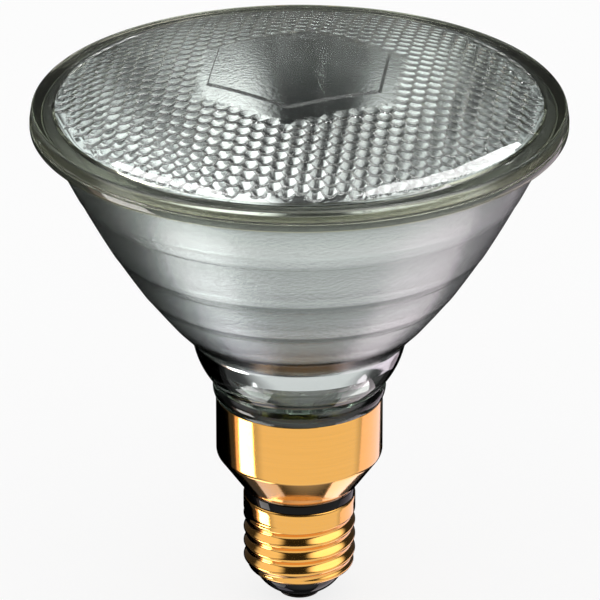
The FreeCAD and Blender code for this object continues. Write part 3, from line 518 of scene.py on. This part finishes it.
# Skirt insulator: a ring of black glass moulded between the skirt and the screw shell. It is glossy,
# with the slow ripple of the mould, about 4 mm long.
black_glass = finish("black_glass_moulded")
place = add(black_glass, "ShaderNodeTexCoord")
ripple = add(black_glass, "ShaderNodeTexNoise", sockets={
    "Vector": place.outputs["Object"], "Scale": 260.0, "Detail": 1.0})
relief = add(black_glass, "ShaderNodeBump", sockets={
    "Strength": 0.12, "Distance": 0.0005, "Height": ripple.outputs[0]})
shader = add(black_glass, "ShaderNodeBsdfPrincipled", sockets={
    "Base Color": linear("#030304"), "Roughness": 0.05, "Specular IOR Level": 0.15,
    "Normal": relief.outputs[0]})
add(black_glass, "ShaderNodeOutputMaterial", sockets={"Surface": shader.outputs[0]})
section = softened([
    (8.6, 29.95, 0.3), (11.75, 29.95, 0.3), (11.75, 28.45, 0), (12.9, 28.45, 0.25), (12.9, 26.35, 0.25),
    (12.63, 26.35, 0), (12.63, 25.25, 0.2), (8.6, 25.25, 0.3), (8.6, 29.95, 0.3)])
finished("insulating_ring", turned(section, 192), ring_quads(len(section), 192),
         [black_glass], ["skirt_insulator"])

# Screw shell: thin brass, the same as the skirt's, with a 27 mm round thread rolled through its wall,
# right-handed. Its foot is curled in round the plug.
SHELL_FOOT, SHELL_TOP, THREAD_TOP, THREAD_FOOT = 7.0, 26.3, 22.8, 9.6
CREST, FOOT_CURL, THREAD_DEPTH, SHELL_WALL = 13.05, 2.05, 0.9, 0.3
PITCH, SHELL_COLUMNS = 3.63, 200


def eased(share):
    """Smooth step: three shares squared less two shares cubed."""
    share = np.clip(share, 0, 1)
    return share * share * (3 - 2 * share)


def rolled(heights, inset):
    """Wall of the shell: the crest's radius, less a parabola where the foot curls in, less a cosine
    wave of the thread's depth that climbs one pitch a turn and fades at both ends."""
    around = 2 * np.pi * np.arange(SHELL_COLUMNS) / SHELL_COLUMNS
    height = heights[:, None]
    curl = np.maximum(0, (THREAD_FOOT - height) / (THREAD_FOOT - SHELL_FOOT)) ** 2
    fade = eased((THREAD_TOP - height) / 1.8) * eased((height - SHELL_FOOT) / 2.9)
    wave = (1 - np.cos(2 * np.pi * height / PITCH - around - math.pi / 2)) / 2
    radius = CREST - FOOT_CURL * curl - THREAD_DEPTH * fade * wave - inset
    return np.stack([radius * np.cos(around), radius * np.sin(around),
                     np.repeat(height, SHELL_COLUMNS, 1)], -1)


rise = np.concatenate([np.linspace(SHELL_FOOT, THREAD_TOP, 110), [23.5, 25.0, 26.1]])
within = np.linspace(SHELL_TOP, SHELL_FOOT, 60)
wall = np.concatenate([rolled(rise, 0.0), rolled(np.array([SHELL_TOP]), 0.1), rolled(within, SHELL_WALL),
                       rolled(np.array([SHELL_FOOT]), 0.0)])
finished("screw_thread_shell", wall, ring_quads(len(wall), SHELL_COLUMNS),
         [brass], ["screw_shell"], crease=50)

# Contact insulator: a plug of the same black glass, moulded into the shell's foot, which it closes. It
# tapers in a full curve to the flat that the contact sits on.
section = softened([(1.8, 9.6, 0.2), (10.54, 9.6, 0.4), (10.54, 6.95, 0.2)]
                   + uncut(arc((10.54, 6.95), (5.9, 2.0), 9.0, 14)[2:], 0.3)
                   + [(4.8, 1.2, 0.15), (1.8, 1.2, 0), (1.8, 9.6, 0.2)])
finished("insulating_plug", turned(section, 192), ring_quads(len(section), 192),
         [black_glass], ["contact_insulator"])

# Centre contact: a pressed brass eyelet set in the plug, with the lead soldered in its bore. Its colour
# is painted near black as painted shade, and it is dull.
shade_dark_brass = finish("brass_painted_shade")
shader = add(shade_dark_brass, "ShaderNodeBsdfPrincipled", sockets={
    "Base Color": linear("#1d1a18"), "Metallic": 1.0, "Roughness": 0.35})
add(shade_dark_brass, "ShaderNodeOutputMaterial", sockets={"Surface": shader.outputs[0]})
section = softened([
    (1.35, 5.35, 0.1), (1.75, 5.35, 0.1), (1.75, 1.15, 0), (4.8, 1.15, 0.1), (4.8, 0.6, 0.25),
    (3.6, 0.0, 0.4), (1.0, 0.0, 0.1), (1.0, 1.15, 0), (1.35, 1.15, 0), (1.35, 5.35, 0.1)])
finished("contact_eyelet", turned(section, 128), ring_quads(len(section), 128),
         [shade_dark_brass], ["centre_contact"])

# Floor: a plain pale sheet, which the camera sees near white, with the bulb's shadow. Gloss and glass
# show the room in its place, so that what they reflect from below doesn't hang on how near it is.
paper = finish("paper_floor")
seen = add(paper, "ShaderNodeLightPath")
share = add(paper, "ShaderNodeMath", {"operation": "MULTIPLY"}, {
    0: seen.outputs["Is Camera Ray"], 1: 0.8})
matt = add(paper, "ShaderNodeBsdfDiffuse", sockets={"Color": linear("#f0f0f0")})
glow = add(paper, "ShaderNodeEmission", sockets={"Color": linear("#ffffff"), "Strength": 1.0})
mixed = add(paper, "ShaderNodeMixShader", sockets={
    0: share.outputs[0], 1: matt.outputs[0], 2: glow.outputs[0]})
add(paper, "ShaderNodeOutputMaterial", sockets={"Surface": mixed.outputs[0]})


def sheet(name, corners, material):
    """Flat stage sheet through corners in metres."""
    mesh = bpy.data.meshes.new(name)
    mesh.from_pydata(corners, [], [tuple(range(len(corners)))])
    mesh.materials.append(material)
    made = bpy.data.objects.new(name, mesh)
    bpy.context.scene.collection.objects.link(made)
    return made


floor = sheet("floor", [(x, y, -0.0002) for x, y in ((-3, -3), (3, -3), (3, 3), (-3, 3))], paper)
floor.visible_glossy = floor.visible_transmission = False


# Studio cards and lights, which only the bulb's gloss and glass show. Each card is given by its
# azimuth and height, its width and height, all in degrees, its distance in metres, its colour and
# its strength.
def bearing(azimuth, height):
    """Unit vector at an azimuth from the front, to the right, and a height, both in degrees."""
    azimuth, height = math.radians(azimuth), math.radians(height)
    return np.array([math.cos(height) * math.sin(azimuth), -math.cos(height) * math.cos(azimuth),
                     math.sin(height)])


def glowing(name, shade, level):
    """Plain light of one colour and strength."""
    made = finish(name)
    glow = add(made, "ShaderNodeEmission", sockets={"Color": linear(shade), "Strength": level})
    add(made, "ShaderNodeOutputMaterial", sockets={"Surface": glow.outputs[0]})
    return made


def hang(name, corners, material):
    """Sheet that only gloss and glass show."""
    hung = sheet(name, corners, material)
    hung.visible_camera = hung.visible_shadow = hung.visible_diffuse = False


for name, azimuth, height, wide, tall, far, shade, level in (
        ("panel_left", -78.3, -25, 24.5, 22, 2.0, "#fffaf6", 9.0),
        ("panel_right", 120, -27, 54, 22, 2.0, "#f4e4f0", 1.35),
        ("panel_under_left", -95, -63, 54, 17, 2.0, "#ffffff", 2.7),
        ("panel_under_right", 123, -57, 60, 22, 2.0, "#f8ecf2", 1.7),
        ("panel_cone_left", -134, -68, 40, 16, 2.0, "#f4eeff", 1.0),
        ("flag_behind", -158, -30, 92, 40, 2.4, "#000000", 0.0),
        ("panel_left_edge", -94.5, -25, 8, 22, 2.0, "#ffd9c4", 1.2)):
    middle = bearing(azimuth, height) * far
    across = (bearing(azimuth + 90, 0) * far * math.tan(math.radians(wide / 2))
              * math.cos(math.radians(height)))
    up = bearing(azimuth, height + 90) * far * math.tan(math.radians(tall / 2))
    corners = [(middle + across * x + up * y).tolist() for x, y in ((-1, -1), (1, -1), (1, 1), (-1, 1))]
    hang(name, corners, glowing(name, shade, level))

# Two strip lights overhead and behind, 20 m off, which draw the bright lines in the lens's plain
# margin. Each is given by its corners' azimuths and heights.
strip = glowing("strip_light", "#ffffff", 9.0)
for name, turns in (
        ("strip_right", ((169, 60), (164.7, 55.6), (160, 51.2), (158, 46.4), (157.6, 41), (158, 33),
                         (154, 35), (153.5, 41), (154, 48.5), (156, 54), (160.5, 59.5), (167, 62.5))),
        ("strip_left", ((-170, 61), (-164.5, 57), (-159.8, 52), (-157.5, 47), (-157, 42),
                        (-154, 42), (-154, 48.5), (-156, 54), (-160.5, 59.5), (-168, 63)))):
    hang(name, [(bearing(*spot) * 20.0).tolist() for spot in turns], strip)

# Room: pale, brightest low down in front and overhead, for gloss and glass, and plain white to the
# camera and to matt surfaces. Under its horizon it pales towards the front, and over it by height.
room = bpy.data.worlds.new("room")
room.use_nodes = True
room.node_tree.nodes.clear()
seen = add(room, "ShaderNodeLightPath")
place = add(room, "ShaderNodeTexCoord")
low = add(room, "ShaderNodeVectorMath", {"operation": "DOT_PRODUCT"}, {
    0: place.outputs["Generated"], 1: bearing(15, -8).tolist()})
below = add(room, "ShaderNodeMapRange", sockets={
    "Value": low.outputs["Value"], "From Min": -0.02, "From Max": 0.42, "To Min": 0.06, "To Max": 0.98})
split = add(room, "ShaderNodeSeparateXYZ", sockets={0: place.outputs["Generated"]})
level = add(room, "ShaderNodeValToRGB", sockets={0: split.outputs["Z"]})
stops = level.color_ramp.elements
for spot, tone in ((0.0, 0.02), (0.8, 0.01), (0.9, 0.35)):
    stop = stops[0] if spot == 0 else stops.new(spot)
    stop.color = (tone, tone, tone, 1.0)
stops[-1].color = (0.6, 0.6, 0.6, 1.0)
above = add(room, "ShaderNodeMath", {"operation": "MULTIPLY"}, {0: level.outputs[0], 1: 2.4})
# Two soft lights in front, strong to the right and weak to the left, which the bowl's mirror throws
# through the lens. Each fades from its middle to its edge, given in degrees off its bearing.
for azimuth, height, edge, middle, strength in ((63, 33, 43, 20, 2.0), (-72, 24, 36, 18, 1.1)):
    toward = add(room, "ShaderNodeVectorMath", {"operation": "DOT_PRODUCT"}, {
        0: place.outputs["Generated"], 1: bearing(azimuth, height).tolist()})
    soft = add(room, "ShaderNodeMapRange", {"interpolation_type": "SMOOTHSTEP"}, {
        "Value": toward.outputs["Value"], "From Min": math.cos(math.radians(edge)),
        "From Max": math.cos(math.radians(middle)), "To Min": 0.0, "To Max": strength})
    above = add(room, "ShaderNodeMath", {"operation": "ADD"}, {
        0: above.outputs[0], 1: soft.outputs[0]})
over = add(room, "ShaderNodeMath", {"operation": "GREATER_THAN"}, {0: split.outputs["Z"], 1: -0.12})
either = add(room, "ShaderNodeMix", {"data_type": "FLOAT"}, {
    0: over.outputs[0], 2: below.outputs[0], 3: above.outputs[0]})
plain = add(room, "ShaderNodeMath", {"operation": "MAXIMUM"}, {
    0: seen.outputs["Is Diffuse Ray"], 1: seen.outputs["Is Camera Ray"]})
mirrored = add(room, "ShaderNodeMath", {"operation": "MAXIMUM"}, {
    0: seen.outputs["Is Glossy Ray"], 1: seen.outputs["Is Transmission Ray"]})
shown = add(room, "ShaderNodeMath", {"operation": "MULTIPLY_ADD"}, {
    0: either.outputs[0], 1: mirrored.outputs[0], 2: plain.outputs[0]})
sky = add(room, "ShaderNodeBackground", sockets={
    "Color": linear("#ffffff"), "Strength": shown.outputs[0]})
add(room, "ShaderNodeOutputWorld", sockets={"Surface": sky.outputs[0]})
scene = bpy.context.scene
scene.world = room
scene.view_settings.view_transform = "Standard"
scene.cycles.max_bounces = 24
scene.cycles.glossy_bounces = 12
scene.cycles.transmission_bounces = 24

# Camera: at the photograph's angle, 23 degrees above the lens's rim and 1.3 m away
optic = bpy.data.cameras.new("camera")
optic.sensor_width = 36.0
optic.lens = 344.78
camera = bpy.data.objects.new("camera", optic)
camera.location = (0.0, -1.1967, 0.6269)
camera.rotation_euler = (math.radians(90 - 24.754), 0.0, -0.00012)
scene.collection.objects.link(camera)
scene.camera = camera
